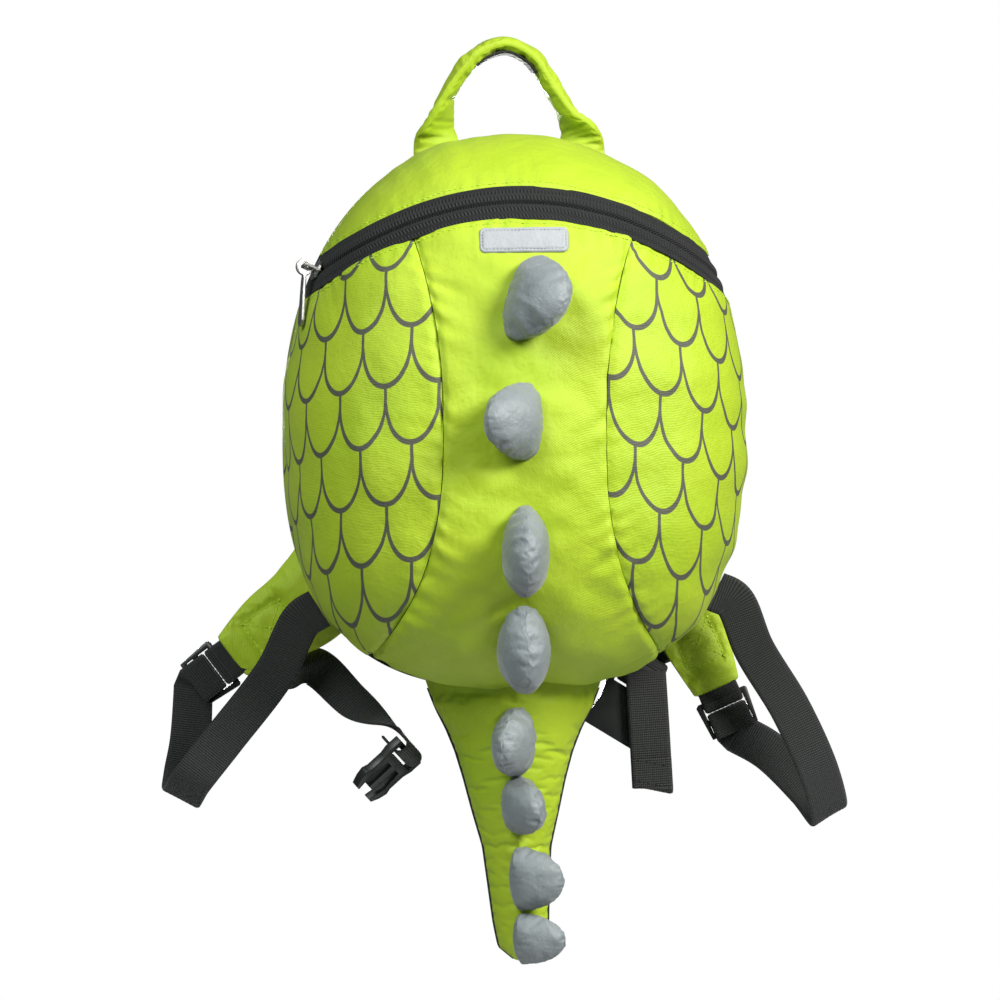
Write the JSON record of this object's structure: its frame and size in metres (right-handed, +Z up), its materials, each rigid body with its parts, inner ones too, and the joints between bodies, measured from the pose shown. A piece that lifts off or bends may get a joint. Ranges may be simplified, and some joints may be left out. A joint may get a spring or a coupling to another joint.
{
  "type": "kids dinosaur backpack",
  "caption": "Domed toddler backpack with a curved zip, soft spikes down the front, a stuffed hanging tail, a grab handle and padded shoulder straps with an open chest buckle.",
  "frame": {"origin": "the point under the top of the grab handle where a hook carries the bag", "axes": "+Z up as the bag hangs, +X to the right seen from the front, and the front faces -Y"},
  "size_m": [0.3359, 0.1828, 0.4478],
  "materials": {
    "lime_fabric": "satin-like polyester twill",
    "grey_fabric": "smooth satin",
    "black_fabric": "ribbed webbing and matt cloth",
    "black_plastic": "fine moulded grain",
    "nickel": "polished nickel"
  },
  "bodies": {
    "bag": {"front_panel": "lime_fabric", "side_panel_left": "lime_fabric", "side_panel_right": "lime_fabric", "top_panel": "lime_fabric", "zip_tape_lower": "black_fabric", "zip_tape_upper": "black_fabric", "zip_coil": "black_plastic", "back_panel": "black_fabric", "label": "grey_fabric", "tail": "lime_fabric", "tail_back": "black_fabric", "spike_1": "grey_fabric", "spike_2": "grey_fabric", "spike_3": "grey_fabric", "spike_4": "grey_fabric", "spike_5": "grey_fabric", "spike_6": "grey_fabric", "spike_7": "grey_fabric", "spike_8": "grey_fabric", "grab_handle": "lime_fabric", "handle_webbing": "black_fabric", "shoulder_strap_left": "lime_fabric", "adjuster_loop_left": "black_fabric", "adjuster_left": "black_plastic", "lower_webbing_left": "black_fabric", "shoulder_strap_right": "lime_fabric", "adjuster_loop_right": "black_fabric", "adjuster_right": "black_plastic", "lower_webbing_right": "black_fabric", "zip_slider": "nickel", "chest_webbing_left": "black_fabric", "chest_plug": "black_plastic", "chest_webbing_right": "black_fabric", "chest_socket": "black_plastic"},
    "pull": {"zip_pull": "nickel"}
  },
  "joints": [
    {"name": "pull_swing", "type": "hinge", "parent": "bag", "child": "pull", "pos_m": [-0.10188, -0.03647, -0.10382], "axis": [-0.2954, 0.936, -0.1914], "range_deg": [0, 130]}
  ]
}
